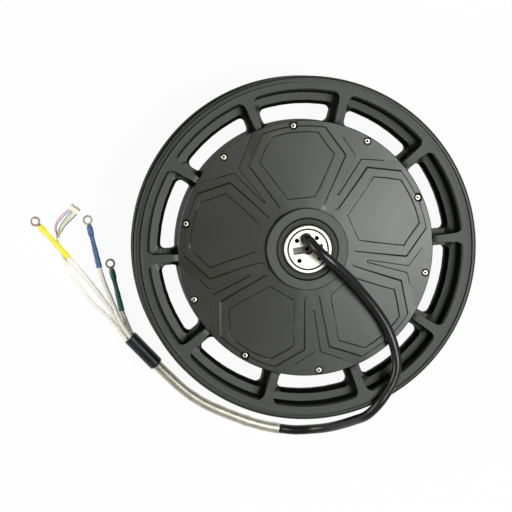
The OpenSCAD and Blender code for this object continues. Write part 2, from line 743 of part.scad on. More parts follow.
module breakout_boot() {
    r = 8.5;
    color([0.08, 0.08, 0.1]) translate(boot_start) rotate([0, 0, boot_angle]) rotate([0, 90, 0])
        rotate_extrude($fn = 48) polygon([
            [0, 0.1], [r - 1, 0.1], [r - 0.2, 1.2], [r, 4], [r, boot_len - 5],
            [r - 0.3, boot_len - 1], [r - 0.9, boot_len], [0, boot_len]
        ]);
}

// A ring terminal crimped on a phase wire, with its shrink tube: the wire
// comes in at the origin along +X
lug_len = 56;
tube_len = 49;
barrel_start = 22;
barrel_end = 39;
bump_end = 47;
crimp_r = 2.15;
bump_r = 3.05;

module lug_place(lug) {
    translate(lug[0]) rotate([0, lug[2], lug[1]]) children();
}

function lug_along(lug, d) = lug[0]
    + d * [cos(lug[2]) * cos(lug[1]), cos(lug[2]) * sin(lug[1]), -sin(lug[2])];

module phase_wire(route, lug) {
    color(cream) swept(concat(route, [lug[0], lug_along(lug, barrel_start - 0.1)]), phase_wire_d / 2, 10);
}

module lug_tube(tint) {
    wall = 0.45;
    wire_r = phase_wire_d / 2 + 0.1;
    color(tint) rotate([0, 90, 0]) rotate_extrude($fn = 48) polygon([
        [wire_r, 0], [wire_r + wall, 0], [wire_r + 0.6, 0.6], [wire_r + 0.6, 10.6], [wire_r + 0.4, 11.4],
        [wire_r + 0.4, 21.6], [crimp_r + 0.1 + wall, 25], [crimp_r + 0.1 + wall, 35.6],
        [bump_r + 0.1 + wall, barrel_end + 0.6], [bump_r + 0.1 + wall, bump_end - 0.6],
        [bump_r - 0.1 + wall, tube_len], [bump_r - 0.1, tube_len], [bump_r + 0.1, bump_end - 0.4],
        [bump_r + 0.1, barrel_end + 0.8], [crimp_r + 0.1, 36], [crimp_r + 0.1, 24.6], [wire_r, 22]
    ]);
}

module ring_terminal(tint) {
    plate_h = 1.4;
    low = -2.55;
    color(tint) union() {
        rotate([0, 90, 0]) rotate_extrude($fn = 32) polygon([
            [0, barrel_start], [crimp_r, barrel_start], [crimp_r, 36], [bump_r, barrel_end + 1],
            [bump_r, bump_end - 0.6], [bump_r - 0.4, bump_end + 1], [0, bump_end + 4]
        ]);
        difference() {
            translate([0, 0, low]) union() {
                translate([bump_end - 1, -1.6, 0]) cube([lug_len - bump_end + 1, 3.2, plate_h]);
                translate([tube_len + 0.1, -2.6, 0]) cube([lug_len - tube_len, 5.2, plate_h]);
                translate([lug_len, 0, 0]) cylinder(r = 5.8, h = plate_h, $fn = 48);
            }
            translate([lug_len, 0, low - 1]) cylinder(r = 3.35, h = 4, $fn = 48);
        }
    }
}

// One sensor wire: from its place in the cable's end to its contact
function contact_at(i) = let (a = connector_angle - 90, o = (i - 2.5) * contact_pitch)
    [connector_at.x + o * cos(a), connector_at.y + o * sin(a), 2.5];
function wire_route(i, way) = let (
        last = hall_route[len(hall_route) - 1],
        t = unit(last - hall_route[len(hall_route) - 2]),
        side = unit(cross(t, [0, 0, 1])),
        s = wire_starts[i],
        first = last + s[0] * side + [0, 0, s[1]],
        back = polar(1, connector_angle + 180)
    )
    concat([first, first + 2 * t], way, [contact_at(i) + 2 * [back.x, back.y, 0], contact_at(i)]);

module hall_wire(i, way, tint) {
    color(tint) swept(wire_route(i, way), hall_wire_d / 2, 8);
}

module connector_place() {
    translate(connector_at) rotate(connector_angle) children();
}

module hall_connector() {
    color([0.93, 0.91, 0.82]) connector_place() difference() {
        translate([0, -connector_size.y / 2, 0]) cube(connector_size);
        for (i = [0:5]) translate([1, (i - 2.5) * contact_pitch - 0.65, 1.6]) cube([8, 1.3, 1.5]);
        translate([-1, -connector_size.y / 2 - 1, connector_size.z - 0.8]) cube([2.6, connector_size.y + 2, 2]);
    }
}

module hall_contacts() {
    color([0.75, 0.75, 0.72]) connector_place()
        for (i = [0:5]) translate([1, (i - 2.5) * contact_pitch - 0.45, 1.8]) difference() {
            cube([5.8, 0.9, 1.1]);
            translate([1, 0.2, 0.2]) cube([6, 0.5, 0.7]);
        }
}

yellow = [0.95, 0.88, 0.15];
blue = [0.2, 0.36, 0.55];
green = [0.12, 0.38, 0.3];
cream = [0.93, 0.93, 0.88];
tin = [0.6, 0.58, 0.52];

wheel_casting();
flux_ring();
magnets();
cable_side_cover();
plain_side_cover();
on_cable_side() o_ring();  // cable_side_o_ring
on_plain_side() o_ring();  // plain_side_o_ring
on_cable_side() cover_screws();  // cable_side_screws
on_plain_side() cover_screws();  // plain_side_screws
on_cable_side() lip_seal();  // cable_side_seal
on_plain_side() lip_seal();  // plain_side_seal
on_cable_side() outer_race();  // cable_side_outer_race
on_plain_side() outer_race();  // plain_side_outer_race
on_cable_side() shields();  // cable_side_shields
on_plain_side() shields();  // plain_side_shields
on_cable_side() bearing_balls();  // cable_side_balls
on_plain_side() bearing_balls();  // plain_side_balls
on_cable_side() cage();  // cable_side_cage
on_plain_side() cage();  // plain_side_cage
on_cable_side() inner_race();  // cable_side_inner_race
on_plain_side() inner_race();  // plain_side_inner_race
on_cable_side() collar();  // cable_side_collar
on_plain_side() collar();  // plain_side_collar
axle();
axle_key();
spider_circlips();
spider();
stator_core();
on_cable_side() insulator();  // cable_side_insulator
on_plain_side() insulator();  // plain_side_insulator
coils(0);  // coils_phase_a
coils(1);  // coils_phase_b
coils(2);  // coils_phase_c
hall_board();
hall_sensors();
phase_leads();
hall_lead();
main_cable();
cable_sleeve();
sleeve_band();
breakout_boot();
phase_wire(yellow_route, yellow_lug);  // phase_wire_yellow
phase_wire(blue_route, blue_lug);  // phase_wire_blue
phase_wire(green_route, green_lug);  // phase_wire_green
lug_place(yellow_lug) lug_tube(yellow);  // lug_tube_yellow
lug_place(blue_lug) lug_tube(blue);  // lug_tube_blue
lug_place(green_lug) lug_tube(green);  // lug_tube_green
lug_place(yellow_lug) ring_terminal(tin);  // ring_terminal_yellow
lug_place(blue_lug) ring_terminal(tin);  // ring_terminal_blue
lug_place(green_lug) ring_terminal(tin);  // ring_terminal_green
color(cream) swept(hall_route, hall_cable_d / 2, 8);  // hall_cable
hall_wire(0, red_way, [0.85, 0.35, 0.38]);  // hall_wire_red
hall_wire(1, blue_way, [0.45, 0.5, 0.8]);  // hall_wire_blue
hall_wire(2, green_way, [0.15, 0.5, 0.45]);  // hall_wire_green
hall_wire(3, yellow_way, [0.85, 0.75, 0.2]);  // hall_wire_yellow
hall_wire(4, white_way, [0.9, 0.9, 0.88]);  // hall_wire_white
hall_wire(5, black_way, [0.1, 0.1, 0.1]);  // hall_wire_black
hall_connector();
hall_contacts();
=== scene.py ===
# Hub motor of an electric unicycle, dressed over its CAD model.
# The motor stands on its lower axle end, and the cable comes out of the upper
# one. Blender's lengths are metres. The tables of sizes and routes here are in
# millimetres, and MM turns them into metres.
import math

import bmesh
import bpy
from mathutils import Matrix, Vector


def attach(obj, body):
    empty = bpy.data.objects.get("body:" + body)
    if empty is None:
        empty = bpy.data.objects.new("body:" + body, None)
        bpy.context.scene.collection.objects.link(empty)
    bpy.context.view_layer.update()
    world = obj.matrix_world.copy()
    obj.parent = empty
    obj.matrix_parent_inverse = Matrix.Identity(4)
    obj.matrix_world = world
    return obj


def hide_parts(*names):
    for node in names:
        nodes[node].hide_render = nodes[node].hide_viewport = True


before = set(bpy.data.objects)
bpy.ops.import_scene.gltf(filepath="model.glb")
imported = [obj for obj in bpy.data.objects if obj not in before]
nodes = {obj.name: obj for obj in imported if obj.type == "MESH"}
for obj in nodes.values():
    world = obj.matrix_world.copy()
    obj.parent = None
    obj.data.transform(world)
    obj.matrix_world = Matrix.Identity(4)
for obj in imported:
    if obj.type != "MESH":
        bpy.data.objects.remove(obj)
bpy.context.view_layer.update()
bpy.ops.object.select_all(action="DESELECT")

MM = 0.001
AXIS_X = Vector((1, 0, 0))
AXIS_Z = Vector((0, 0, 1))
# The wheel's middle plane, the number of screws in a cover and the first one's angle
MID_Z = 49 * MM
SCREWS = 10
SCREW_TURN = 24.1
# How far a point may lie off a level or a radius and still count as on it
NEAR = 0.1
# A face looks along an axis if its normal's share along it is over this
FACING = 0.9


# Camera
CAMERA_TARGET = Vector((-56.9, -8, 83)) * MM
CAMERA_SIDE = Vector((-0.107, 0.077, 1))
CAMERA_AWAY = 2.824
CAMERA_LENS = 177.4


def add_camera():
    """A long lens nearly straight above the motor."""
    towards = CAMERA_SIDE.normalized()
    forward = -towards
    right = forward.cross(Vector((0, 1, 0))).normalized()
    up = right.cross(forward)
    camera = bpy.data.objects.new("camera", bpy.data.cameras.new("camera"))
    bpy.context.scene.collection.objects.link(camera)
    turn = Matrix((right, up, towards)).transposed()
    place = CAMERA_TARGET + towards * CAMERA_AWAY
    camera.matrix_world = Matrix.Translation(place) @ turn.to_4x4()
    camera.data.lens = CAMERA_LENS
    camera.data.sensor_width = 36
    camera.data.clip_start, camera.data.clip_end = 0.05, 30
    bpy.context.scene.camera = camera


add_camera()


# Materials
def shade_nodes(name):
    """A new material, its node adder and its shader."""
    material = bpy.data.materials.new(name)
    material.use_nodes = True
    tree = material.node_tree
    shader = tree.nodes["Principled BSDF"]

    def node(kind):
        return tree.nodes.new("ShaderNode" + kind)

    return material, tree, node, shader


def set_sockets(node, settings):
    for key, value in settings.items():
        node.inputs[key].default_value = value


COLOUR_FROM, COLOUR_TO = 0.35, 0.65
GLOSS_FROM, GLOSS_TO = 0.3, 0.7


def blend_colours(tree, node, factor, dark, light):
    """A colour that goes from dark to light over the middle of the patches."""
    ramp = node("ValToRGB")
    ramp.color_ramp.elements[0].position = COLOUR_FROM
    ramp.color_ramp.elements[1].position = COLOUR_TO
    ramp.color_ramp.elements[0].color = (*dark, 1)
    ramp.color_ramp.elements[1].color = (*light, 1)
    tree.links.new(factor, ramp.inputs[0])
    return ramp.outputs[0]


def spread_rough(tree, node, factor, low, high):
    """A roughness that goes from low to high over the middle of the patches."""
    span = node("MapRange")
    set_sockets(span, {
        "From Min": GLOSS_FROM, "From Max": GLOSS_TO, "To Min": low, "To Max": high,
    })
    tree.links.new(factor, span.inputs["Value"])
    return span.outputs[0]


def mottled(name, dark, light, rough, patch, grain, relief, stretch=None, sockets=None):
    """A material with soft patches of colour and gloss, and a fine grain in relief.
    Patch and grain are the scales of the two textures, rough is the lowest and the
    highest roughness, and relief is the grain's strength and depth."""
    material, tree, node, shader = shade_nodes(name)
    place = node("TexCoord").outputs["Object"]
    if stretch:
        mapping = node("Mapping")
        mapping.inputs["Scale"].default_value = stretch
        tree.links.new(place, mapping.inputs["Vector"])
        place = mapping.outputs[0]
    patches = node("TexNoise")
    set_sockets(patches, {"Scale": patch, "Detail": 5, "Roughness": 0.6})
    fine = node("TexNoise")
    set_sockets(fine, {"Scale": grain, "Detail": 3, "Roughness": 0.55})
    for texture in (patches, fine):
        tree.links.new(place, texture.inputs["Vector"])
    colour = blend_colours(tree, node, patches.outputs["Fac"], dark, light)
    tree.links.new(colour, shader.inputs["Base Color"])
    gloss = spread_rough(tree, node, patches.outputs["Fac"], *rough)
    tree.links.new(gloss, shader.inputs["Roughness"])
    bump = node("Bump")
    strength, depth = relief
    set_sockets(bump, {"Strength": strength, "Distance": depth})
    tree.links.new(fine.outputs["Fac"], bump.inputs["Height"])
    tree.links.new(bump.outputs[0], shader.inputs["Normal"])
    set_sockets(shader, sockets or {})
    return material


rim_black = mottled(
    "satin_black_rim", (0.011, 0.012, 0.01), (0.018, 0.019, 0.015), (0.4, 0.46), 9, 1300,
    (0.2, 0.00006), sockets={"Specular Tint": (0.9, 1, 0.93, 1), "Specular IOR Level": 0.37},
)
# Painted shade: a near-black, dull copy of the rim's paint for the walls of the windows, where
# shade falls
window_shade_black = mottled(
    "window_wall_painted_shade", (0.002, 0.002, 0.002), (0.004, 0.004, 0.0035), (0.6, 0.7), 9, 900,
    (0.3, 0.0001), sockets={"Specular IOR Level": 0.16},
)
cover_black = mottled(
    "matte_black_cover", (0.01, 0.0095, 0.006), (0.015, 0.0138, 0.0095), (0.34, 0.4), 7, 1600,
    (0.2, 0.00005), sockets={"Specular Tint": (0.94, 1, 0.93, 1), "Specular IOR Level": 0.45},
)
turned_steel = mottled(
    "turned_steel", (0.43, 0.415, 0.345), (0.53, 0.515, 0.44), (0.34, 0.44), 60, 1200,
    (0.1, 0.00005), sockets={"Metallic": 1},
)
stainless = mottled(
    "stainless_steel", (0.34, 0.32, 0.25), (0.46, 0.44, 0.36), (0.3, 0.42), 300, 2600,
    (0.08, 0.00004), sockets={"Metallic": 1},
)
bearing_steel = mottled(
    "bearing_steel", (0.55, 0.55, 0.56), (0.7, 0.7, 0.71), (0.12, 0.2), 90, 1500,
    (0.05, 0.00004), sockets={"Metallic": 1},
)
seal_rubber = mottled(
    "seal_rubber", (0.009, 0.01, 0.008), (0.014, 0.015, 0.012), (0.42, 0.5), 120, 1800,
    (0.2, 0.0001), sockets={"Specular Tint": (0.9, 1, 0.93, 1), "Specular IOR Level": 0.33},
)
cable_jacket = mottled(
    "cable_jacket", (0.006, 0.006, 0.006), (0.01, 0.01, 0.01), (0.26, 0.34), 40, 900,
    (0.2, 0.0001), sockets={"Specular IOR Level": 0.4},
)
silver_sleeve = mottled(
    "silver_sleeve", (0.52, 0.5, 0.41), (0.66, 0.64, 0.54), (0.46, 0.54), 90, 1200,
    (0.15, 0.0001), sockets={"Metallic": 0.9},
)
boot_black = mottled(
    "shrink_black", (0.008, 0.009, 0.014), (0.014, 0.016, 0.024), (0.32, 0.44), 120, 900,
    (0.2, 0.0001),
)
shrink_yellow = mottled(
    "shrink_yellow", (0.86, 0.72, 0.02), (0.95, 0.82, 0.05), (0.32, 0.42), 120, 1200,
    (0.15, 0.0001),
)
shrink_blue = mottled(
    "shrink_blue", (0.035, 0.1, 0.26), (0.055, 0.14, 0.33), (0.3, 0.42), 120, 1200,
    (0.15, 0.0001),
)
shrink_green = mottled(
    "shrink_green", (0.015, 0.1, 0.075), (0.025, 0.14, 0.105), (0.32, 0.44), 120, 1200,
    (0.15, 0.0001),
)
cream_jacket = mottled(
    "cream_jacket", (0.8, 0.81, 0.68), (0.86, 0.87, 0.77), (0.36, 0.46), 60, 500,
    (0.06, 0.00005),
)
cream_nylon = mottled(
    "cream_nylon", (0.8, 0.77, 0.62), (0.86, 0.83, 0.7), (0.36, 0.46), 300, 1500,
    (0.1, 0.00005),
)
tinned = mottled(
    "tinned_copper", (0.33, 0.3, 0.23), (0.46, 0.43, 0.36), (0.3, 0.42), 250, 1800,
    (0.15, 0.00005), sockets={"Metallic": 0.85},
)
bare_copper = mottled(
    "bare_copper", (0.52, 0.34, 0.26), (0.66, 0.46, 0.36), (0.3, 0.42), 250, 1800,
    (0.15, 0.00005), sockets={"Metallic": 0.85},
)
cast_alloy = mottled(
    "cast_alloy", (0.42, 0.42, 0.42), (0.56, 0.56, 0.56), (0.4, 0.55), 40, 700,
    (0.35, 0.0002), sockets={"Metallic": 0.9},
)
lamination = mottled(
    "lamination_steel", (0.2, 0.2, 0.21), (0.32, 0.32, 0.33), (0.4, 0.5), 30, 900,
    (0.3, 0.0001), stretch=(1, 1, 40), sockets={"Metallic": 0.9},
)
magnet_nickel = mottled(
    "magnet_nickel", (0.5, 0.49, 0.46), (0.62, 0.61, 0.58), (0.2, 0.3), 60, 1500,
    (0.05, 0.00005), sockets={"Metallic": 1},
)
copper_enamel = mottled(
    "copper_enamel", (0.42, 0.13, 0.035), (0.62, 0.24, 0.08), (0.24, 0.34), 60, 700,
    (0.5, 0.0003), stretch=(1, 1, 0.1), sockets={"Metallic": 0.6},
)
white_paper = mottled(
    "slot_liner", (0.66, 0.66, 0.58), (0.76, 0.76, 0.7), (0.5, 0.6), 80, 1200, (0.2, 0.0001),
)
board_green = mottled(
    "board_green", (0.01, 0.09, 0.035), (0.02, 0.14, 0.06), (0.3, 0.4), 80, 1500, (0.1, 0.00005),
)
chip_black = mottled(
    "sensor_black", (0.01, 0.01, 0.01), (0.02, 0.02, 0.02), (0.4, 0.5), 300, 2200, (0.2, 0.00005),
)
cage_brass = mottled(
    "cage_brass", (0.4, 0.24, 0.07), (0.55, 0.36, 0.13), (0.3, 0.42), 120, 1500,
    (0.1, 0.00005), sockets={"Metallic": 1},
)
# Painted shade: a near black for the wells round the screws, their sockets, the axle's holes and
# chamfer grooves, the collars' inner chamfers and the slot's right floor
shade_paint_dark = mottled(
    "painted_shade_hollows", (0.006, 0.006, 0.006), (0.012, 0.012, 0.011), (0.5, 0.6), 200, 1500,
    (0.2, 0.00005), sockets={"Specular IOR Level": 0.2},
)
# Milled steel made darker than the turned steel, as painted shade on the floors of the axle's slot
# and recess and of the plug's slots
milled_shade_grey = mottled(
    "milled_floor_painted_shade", (0.08, 0.08, 0.075), (0.14, 0.14, 0.125), (0.4, 0.5), 150, 1500,
    (0.2, 0.00005), sockets={"Metallic": 0.9},
)
dark_spring = mottled(
    "dark_spring_steel", (0.05, 0.05, 0.052), (0.09, 0.09, 0.095), (0.3, 0.4), 150, 1500,
    (0.1, 0.00005), sockets={"Metallic": 0.9},
)
wire_tints = {
    "red": ((0.62, 0.12, 0.14), (0.74, 0.2, 0.2)),
    "blue": ((0.16, 0.18, 0.5), (0.26, 0.28, 0.62)),
    "green": ((0.02, 0.2, 0.15), (0.04, 0.28, 0.22)),
    "yellow": ((0.66, 0.52, 0.05), (0.78, 0.64, 0.12)),
    "white": ((0.74, 0.74, 0.7), (0.82, 0.82, 0.8)),
    "black": ((0.012, 0.012, 0.012), (0.02, 0.02, 0.02)),
}
wire_jackets = {
    tint: mottled("wire_" + tint, dark, light, (0.35, 0.45), 300, 1800, (0.1, 0.00005))
    for tint, (dark, light) in wire_tints.items()
}


def paint(piece, material):
    piece.data.materials.clear()
    piece.data.materials.append(material)


# Cords
def smooth_route(points, steps):
    """The points of a soft curve through a route, in metres."""
    knots = [Vector(p) * MM for p in points]
    ends = [2 * knots[0] - knots[1], *knots, 2 * knots[-1] - knots[-2]]
    made = []
    for before, a, b, after in zip(ends, ends[1:], ends[2:], ends[3:]):
        for i in range(steps):
            t = i / steps
            out = (b - before) / 2
            back = (after - a) / 2
            made.append(
                a * (1 + 2 * t) * (1 - t) ** 2
                + b * (3 - 2 * t) * t * t
                + out * t * (1 - t) ** 2
                - back * t * t * (1 - t)
            )
    made.append(knots[-1])
    return made


def sweep(name, path, radius, sides, bulge=None):
    """A closed tube along a path, with a map whose V runs in metres along it."""
    mesh = bpy.data.meshes.new(name)
    bm = bmesh.new()
    map_layer = bm.loops.layers.uv.new("along")
    side = None
    rings = []
    run = [0.0]
    for i, point in enumerate(path):
        ahead = (path[min(i + 1, len(path) - 1)] - path[max(i - 1, 0)]).normalized()
        if side is None:
            side = ahead.cross(AXIS_X if abs(ahead.z) > 0.8 else AXIS_Z)
        side = (side - side.dot(ahead) * ahead).normalized()
        other = ahead.cross(side)
        if i:
            run.append(run[-1] + (point - path[i - 1]).length)
        r = radius * (bulge(run[-1]) if bulge else 1)
        rings.append([
            bm.verts.new(point + r * (side * math.cos(a) + other * math.sin(a)))
            for a in (k * math.tau / sides for k in range(sides))
        ])
    for i in range(len(rings) - 1):
        for k in range(sides):
            j = (k + 1) % sides
            face = bm.faces.new((rings[i][k], rings[i][j], rings[i + 1][j], rings[i + 1][k]))
            face.smooth = True
            for loop, (row, u) in zip(face.loops, ((i, k), (i, k + 1), (i + 1, k + 1), (i + 1, k))):
                loop[map_layer].uv = (u / sides, run[row])
    bm.faces.new(list(reversed(rings[0])))
    bm.faces.new(rings[-1])
    bmesh.ops.recalc_face_normals(bm, faces=bm.faces)
    bm.to_mesh(mesh)
    bm.free()
    tube = bpy.data.objects.new(name, mesh)
    bpy.context.scene.collection.objects.link(tube)
    return tube


CABLE_R, WRAP_R, LEAD_R, SENSOR_CABLE_R, SENSOR_WIRE_R = 5.5, 6, 2.75, 1.95, 0.6
MAIN_ROUTE = [
    (-1.5, 12.5, 72), (-1.5, 12.5, 98), (-1, 11.5, 107), (2, 8, 115), (7, 2, 120.5),
    (14, -4.5, 122.5), (23, -12.5, 121.5), (33, -21, 117.5), (47, -34, 110.5), (60, -48.5, 103.5),
    (75.5, -67, 97.5), (89, -87.5, 93.5), (98, -109, 91.5), (102, -131, 90.5), (99, -148, 90),
    (91, -163, 90), (80.5, -177.5, 89), (69, -190.5, 79), (57, -198.5, 61), (45, -205.5, 42),
    (31, -211.5, 24), (14, -215, 11), (-4, -216, 7), (-22, -214, 6.5),
]
SLEEVE_ROUTE = [
    (-22, -214, 6.5), (-40, -210.5, 6.5), (-60, -204.5, 6.5), (-84, -195, 6.5), (-108, -184, 6.5),
    (-130, -169.5, 6.5), (-149, -152, 8), (-163.5, -137.5, 8.7),
]
YELLOW_ROUTE = [
    (-194.5, -110, 6), (-196.5, -108, 6), (-204, -97.5, 5), (-211, -86, 3.5), (-217, -73, 3),
    (-228.5, -57, 3), (-240.5, -41.5, 4.5), (-251.5, -28, 7.5),
]
BLUE_ROUTE = [
    (-191.6, -107.6, 11.5), (-193.7, -105.4, 11.5), (-199.5, -97, 10.5), (-204, -89.5, 8.6),
    (-208, -81, 6.3), (-211.5, -71.5, 3.8), (-217, -58.5, 2.9), (-223.5, -42.5, 3),
]
GREEN_ROUTE = [(-189.5, -105.6, 6), (-191.5, -103.4, 6), (-195.3, -95.5, 4.2), (-199.5, -85, 3.4)]
HALL_ROUTE = [
    (-195.8, -111.4, 11.3), (-197.9, -109.2, 11.3), (-203, -103, 10.5), (-208.5, -96, 8.8),
    (-214.5, -88.5, 6), (-222, -79.5, 2.6), (-235, -68, 2), (-247, -53.5, 2), (-257, -38.5, 2),
    (-264, -26.5, 2), (-268.5, -15.5, 2), (-271.5, -6, 2), (-274, 2, 2), (-275.5, 9, 2),
]
# Where each terminal's tube starts, the turn of its axis and how far it dips
LUGS = {
    "yellow": ((-264, -14, 9), 132, 6),
    "blue": ((-228.5, -26, 3.7), 103.5, 0),
    "green": ((-203, -76, 3.7), 103.5, 0),
}
PHASE_ROUTES = {"yellow": YELLOW_ROUTE, "blue": BLUE_ROUTE, "green": GREEN_ROUTE}
# How far a lead reaches into its shrunk tube
LEAD_IN_TUBE = 21.9
# Where each sensor wire leaves its cable's end, sideways and up
WIRE_STARTS = [(-1, 0.75), (-1, -0.75), (0, 0), (0.4, 1.2), (0.4, -1.2), (1.3, 0)]
WIRE_WAYS = {
    "red": [
        (-277.5, 14, 2.8), (-279, 19, 2.4), (-278, 24, 1.8), (-274.5, 30, 1.6), (-269.5, 35.5, 2),
    ],
    "blue": [
        (-276.6, 14, 0.8), (-277.4, 19, 0.8), (-276.4, 23.5, 0.8), (-273, 28.5, 0.8),
        (-268, 34, 1.4),
    ],
    "green": [(-275.4, 14, 2.2), (-274, 18.5, 2.2), (-271, 24.8, 2), (-265.5, 32, 2.2)],
    "yellow": [(-274.8, 14, 3.6), (-272.6, 18.2, 3.4), (-269.3, 24.2, 2.8), (-263.4, 31.2, 2.6)],
    "white": [(-274.8, 14, 0.8), (-272, 18, 0.8), (-268.4, 23.6, 0.8), (-261.8, 30.4, 1)],
    "black": [(-273.2, 13.6, 2.2), (-270.6, 17.4, 1.8), (-266.8, 22.8, 1), (-260, 29.4, 1)],
}
# The straight run of a sensor wire at both its ends
WIRE_LEAD_IN = 2
CONNECTOR_AT = Vector((-258.5, 38.5, 0.1)) * MM
CONNECTOR_TURN = 54.5
CONTACTS, CONTACT_PITCH, CONTACT_H = 6, 2, 2.5
MIDDLE_CONTACT = (CONTACTS - 1) / 2


def lug_heading(tint):
    _, turn, tilt = LUGS[tint]
    turn, tilt = math.radians(turn), math.radians(tilt)
    flat = math.cos(tilt)
    return Vector((flat * math.cos(turn), flat * math.sin(turn), -math.sin(tilt)))


def flat_heading(degrees):
    return Vector((math.cos(math.radians(degrees)), math.sin(math.radians(degrees)), 0))


def lay_cord(name, path, radius, sides, material, node_name, bulge=None):
    """A cord along its path, painted and riding on the stator in place of its node."""
    cord = sweep(name, path, radius, sides, bulge)
    paint(cord, material)
    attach(cord, "stator")
    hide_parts(node_name)


main_path = smooth_route(MAIN_ROUTE, 6)
lay_cord("power_cable", main_path, CABLE_R * MM, 32, cable_jacket, "main_cable")

# Waves of the wrap's skin: a share of its radius, a length and a shift
WRAP_WAVES = ((0.012, 5.3, 0), (0.01, 2.9, 1), (0.008, 13, 2))


def wrap_bulge(run):
    """Soft lumps of the wrap where it lies over the cable's filler."""
    return sum((share * math.sin(run / MM / wave + shift) for share, wave, shift in WRAP_WAVES), 1)


wrap_path = smooth_route(SLEEVE_ROUTE, 14)
lay_cord("cable_wrap", wrap_path, WRAP_R * MM, 36, silver_sleeve, "cable_sleeve", wrap_bulge)

for tint, route in PHASE_ROUTES.items():
    lug_at = Vector(LUGS[tint][0])
    path = smooth_route([*route, lug_at, lug_at + LEAD_IN_TUBE * lug_heading(tint)], 5)
    lay_cord("power_wire_" + tint, path, LEAD_R * MM, 20, cream_jacket, "phase_wire_" + tint)

hall_path = smooth_route(HALL_ROUTE, 5)
lay_cord("sensor_cable", hall_path, SENSOR_CABLE_R * MM, 16, cream_jacket, "hall_cable")

hall_end = Vector(HALL_ROUTE[-1])
hall_ahead = (hall_end - Vector(HALL_ROUTE[-2])).normalized()
hall_side = hall_ahead.cross(AXIS_Z).normalized()
contact_row = flat_heading(CONNECTOR_TURN - 90)
for i, (tint, way) in enumerate(WIRE_WAYS.items()):
    sideways, up = WIRE_STARTS[i]
    start = hall_end + sideways * hall_side + Vector((0, 0, up))
    contact = CONNECTOR_AT / MM + (i - MIDDLE_CONTACT) * CONTACT_PITCH * contact_row
    contact.z = CONTACT_H
    back = WIRE_LEAD_IN * flat_heading(CONNECTOR_TURN + 180)
    ahead = WIRE_LEAD_IN * hall_ahead
    path = smooth_route([start, start + ahead, *way, contact + back, contact], 5)
    jacket = wire_jackets[tint]
    lay_cord("sensor_wire_" + tint, path, SENSOR_WIRE_R * MM, 10, jacket, "hall_wire_" + tint)


# Finishes of the solids that stay
FINISHES = {
    "flux_ring": dark_spring, "magnets": magnet_nickel,
    "axle_key": bearing_steel, "spider_circlips": dark_spring,
    "spider": cast_alloy, "stator_core": lamination, "hall_board": board_green,
    "coils_phase_a": copper_enamel, "coils_phase_b": copper_enamel, "coils_phase_c": copper_enamel,
    "hall_sensors": chip_black, "phase_leads": cream_jacket, "hall_lead": cream_jacket,
    "sleeve_band": silver_sleeve, "hall_contacts": tinned,
}
for end in ("cable_side_", "plain_side_"):
    FINISHES[end + "o_ring"] = seal_rubber
    FINISHES[end + "seal"] = seal_rubber
    FINISHES[end + "outer_race"] = bearing_steel
    FINISHES[end + "inner_race"] = bearing_steel
    FINISHES[end + "balls"] = bearing_steel
    FINISHES[end + "shields"] = seal_rubber
    FINISHES[end + "cage"] = cage_brass
    FINISHES[end + "insulator"] = white_paper
for name, material in FINISHES.items():
    paint(nodes[name], material)


# Modelling by hand
def hold(piece):
    """Makes a piece the only one selected."""
    bpy.ops.object.select_all(action="DESELECT")
    bpy.context.view_layer.objects.active = piece
    piece.select_set(True)


def mode(name):
    bpy.ops.object.mode_set(mode=name)


def pick(kind, test):
    """Selects what passes the test on the piece in edit mode."""
    mesh = bpy.context.edit_object.data
    bpy.ops.mesh.select_all(action="DESELECT")
    bpy.ops.mesh.select_mode(type=kind)
    bm = bmesh.from_edit_mesh(mesh)
    found = [e for e in {"FACE": bm.faces, "EDGE": bm.edges, "VERT": bm.verts}[kind] if test(e)]
    for element in found:
        element.select_set(True)
    bmesh.update_edit_mesh(mesh)


def apply_all(piece):
    """Applies a piece's modifiers in their order."""
    hold(piece)
    for modifier in list(piece.modifiers):
        bpy.ops.object.modifier_apply(modifier=modifier.name)


def even_shading(piece, degrees=28):
    """Smooth faces between sharp edges, shaded by the large faces."""
    hold(piece)
    bpy.ops.object.shade_smooth_by_angle(angle=math.radians(degrees))
    weigh = piece.modifiers.new("even_shading", "WEIGHTED_NORMAL")
    weigh.keep_sharp = True
    weigh.weight = 60
    apply_all(piece)


def round_edges(piece, width, segments=2, degrees=32):
    rounding = piece.modifiers.new("rounded_edges", "BEVEL")
    rounding.width = width
    rounding.segments = segments
    rounding.limit_method = "ANGLE"
    rounding.angle_limit = math.radians(degrees)
    rounding.use_clamp_overlap = True
    apply_all(piece)


# The covers' dome, which falls evenly outwards from the boss, and its layers
BOSS_R, DOME_TOP_H, DOME_FALL, DOME_RUN, STEP_H = 46, 37, 5, 92.4, 1.6
LOW_STEP_END_R = 142.5
RECESS_IN_R, RECESS_OUT_R = 58, 132
# The least turn between a brow's two faces, and how far off its level it may lie
BROW_ANGLE = math.radians(50)
BROW_OFF = 0.08


def dome_height(r, step):
    """The cover's height over the middle plane, so many steps above its lowest layer."""
    return (DOME_TOP_H - DOME_FALL * (r / MM - BOSS_R) / DOME_RUN + STEP_H * step) * MM


def on_brow(edge, step, least_r, most_r):
    """Says whether an edge is a steep brow of one level of a cover, between two radii."""
    if not edge.is_manifold or not edge.is_convex or edge.calc_face_angle(0) < BROW_ANGLE:
        return False
    for vert in edge.verts:
        r = vert.co.xy.length
        off_level = abs(abs(vert.co.z - MID_Z) - dome_height(r, step))
        if not least_r * MM < r < most_r * MM or off_level > BROW_OFF * MM:
            return False
    return True


def on_low_step(edge):
    """Says whether an edge is the brow of a cover's lower step."""
    return on_brow(edge, 1, 0, LOW_STEP_END_R)


# How many panels a cover has, and how far out their middles are
PANELS = 5
PANEL_R = 95
PANEL_MIDDLES = [
    Matrix.Rotation(math.radians(SCREW_TURN + k * 360 / PANELS), 3, "Z")
    @ Vector((PANEL_R * MM, 0, 0))
    for k in range(PANELS)
]


